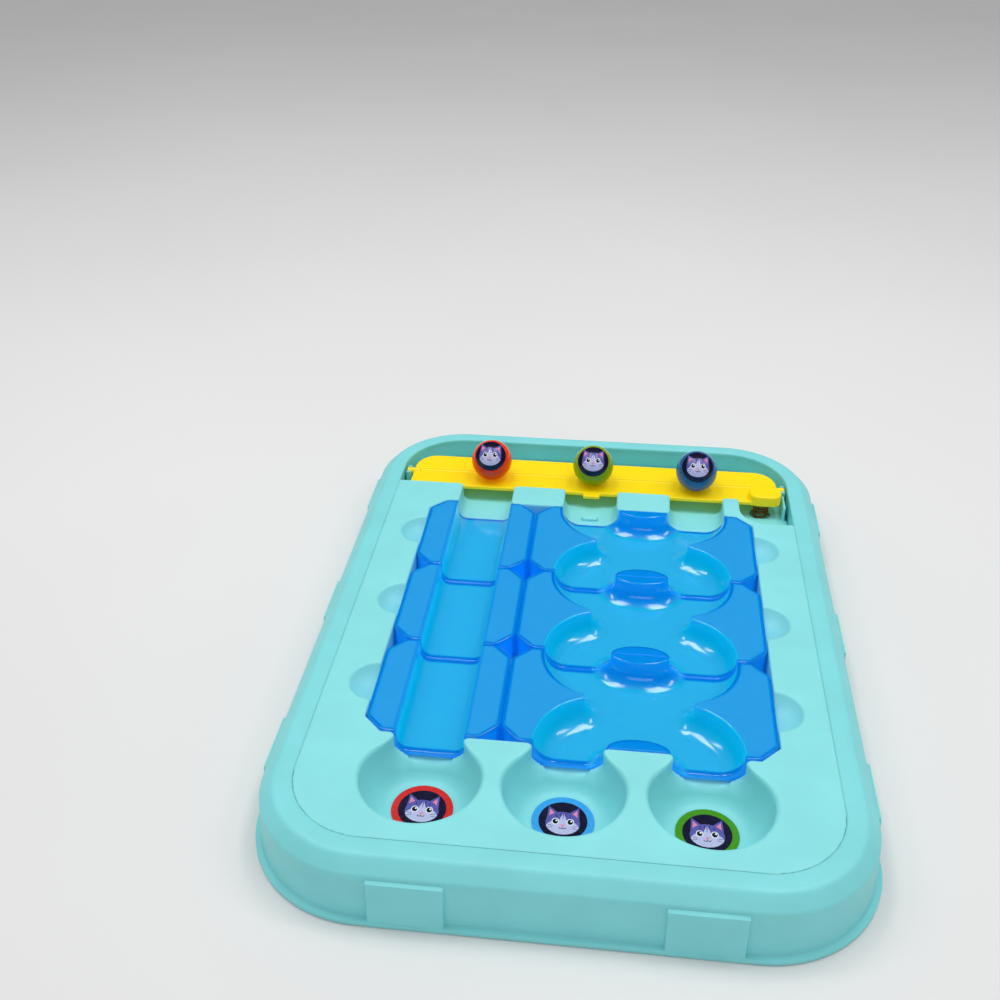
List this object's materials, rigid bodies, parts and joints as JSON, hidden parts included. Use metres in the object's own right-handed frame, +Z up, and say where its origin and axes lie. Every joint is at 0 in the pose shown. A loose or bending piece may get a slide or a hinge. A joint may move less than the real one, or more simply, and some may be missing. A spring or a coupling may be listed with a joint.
{
  "type": "tilt maze game",
  "caption": "Tilt maze tray: a sprung lever releases balls down lift-out straight and crossing channel tiles into round cups.",
  "frame": {"origin": "on the table under the middle of the case", "axes": "+Z up, +Y towards the release lever, +X to the player's right"},
  "size_m": [0.2272, 0.3062, 0.0432],
  "materials": {
    "teal_frame": "semi-gloss moulded ABS, fine mould texture",
    "teal_deck": "semi-gloss moulded ABS, fine mould texture",
    "teal_base": "matt moulded ABS",
    "yellow_plastic": "glossy moulded ABS",
    "spring_wire": "copper-coloured plated spring wire",
    "screw_steel": "zinc-plated steel",
    "tile_blue": "translucent blue polystyrene, glossy",
    "ball_red": "glossy red-orange plastic",
    "ball_green": "glossy olive green plastic",
    "ball_blue": "glossy blue plastic",
    "face_print": "printed dark navy inlay with a cat face, clear gloss over it",
    "sticker_red": "printed gloss sticker: red ring, navy disc, cat face",
    "sticker_blue": "printed gloss sticker: blue ring, navy disc, cat face",
    "sticker_green": "printed gloss sticker: green ring, navy disc, cat face"
  },
  "bodies": {
    "case": {"outer_frame": "teal_frame", "play_deck": "teal_deck", "base_cover": "teal_base", "base_screw_1": "screw_steel", "base_screw_2": "screw_steel", "base_screw_3": "screw_steel", "base_screw_4": "screw_steel", "base_screw_5": "screw_steel", "base_screw_6": "screw_steel", "sticker_red": "sticker_red", "sticker_blue": "sticker_blue", "sticker_green": "sticker_green", "return_spring": "spring_wire"},
    "lever": {"release_lever": "yellow_plastic"},
    "ball_red": {"ball_red_shell": "ball_red", "ball_red_face": "face_print"},
    "ball_green": {"ball_green_shell": "ball_green", "ball_green_face": "face_print"},
    "ball_blue": {"ball_blue_shell": "ball_blue", "ball_blue_face": "face_print"},
    "straight_tile_1_body": {"straight_tile_1": "tile_blue"},
    "straight_tile_2_body": {"straight_tile_2": "tile_blue"},
    "straight_tile_3_body": {"straight_tile_3": "tile_blue"},
    "cross_tile_1_body": {"cross_tile_1": "tile_blue"},
    "cross_tile_2_body": {"cross_tile_2": "tile_blue"},
    "cross_tile_3_body": {"cross_tile_3": "tile_blue"},
    "leg_left_body": {"leg_left": "yellow_plastic"},
    "leg_right_body": {"leg_right": "yellow_plastic"}
  },
  "joints": [
    {"name": "lever_press", "type": "hinge", "parent": "case", "child": "lever", "pos_m": [0, 0.109, 0.0223], "axis": [1, 0, 0], "range_deg": [0, 14], "stiffness_Nm_per_rad": 0.06, "springref_deg": -17.19, "deforming": ["return_spring"]},
    {"name": "ball_red_lift", "type": "slide", "parent": "lever", "child": "ball_red", "axis": [0, 0, 1], "range_m": [0, 0.05]},
    {"name": "ball_green_lift", "type": "slide", "parent": "lever", "child": "ball_green", "axis": [0, 0, 1], "range_m": [0, 0.05]},
    {"name": "ball_blue_lift", "type": "slide", "parent": "lever", "child": "ball_blue", "axis": [0, 0, 1], "range_m": [0, 0.05]},
    {"name": "straight_tile_1_lift", "type": "slide", "parent": "case", "child": "straight_tile_1_body", "axis": [0, 0, 1], "range_m": [0, 0.04]},
    {"name": "straight_tile_2_lift", "type": "slide", "parent": "case", "child": "straight_tile_2_body", "axis": [0, 0, 1], "range_m": [0, 0.04]},
    {"name": "straight_tile_3_lift", "type": "slide", "parent": "case", "child": "straight_tile_3_body", "axis": [0, 0, 1], "range_m": [0, 0.04]},
    {"name": "cross_tile_1_lift", "type": "slide", "parent": "case", "child": "cross_tile_1_body", "axis": [0, 0, 1], "range_m": [0, 0.04]},
    {"name": "cross_tile_2_lift", "type": "slide", "parent": "case", "child": "cross_tile_2_body", "axis": [0, 0, 1], "range_m": [0, 0.04]},
    {"name": "cross_tile_3_lift", "type": "slide", "parent": "case", "child": "cross_tile_3_body", "axis": [0, 0, 1], "range_m": [0, 0.04]},
    {"name": "leg_left_fold", "type": "hinge", "parent": "case", "child": "leg_left_body", "pos_m": [-0.066, 0.115, 0.0031], "axis": [1, 0, 0], "range_deg": [0, 92]},
    {"name": "leg_right_fold", "type": "hinge", "parent": "case", "child": "leg_right_body", "pos_m": [0.066, 0.115, 0.0031], "axis": [1, 0, 0], "range_deg": [0, 92]}
  ]
}
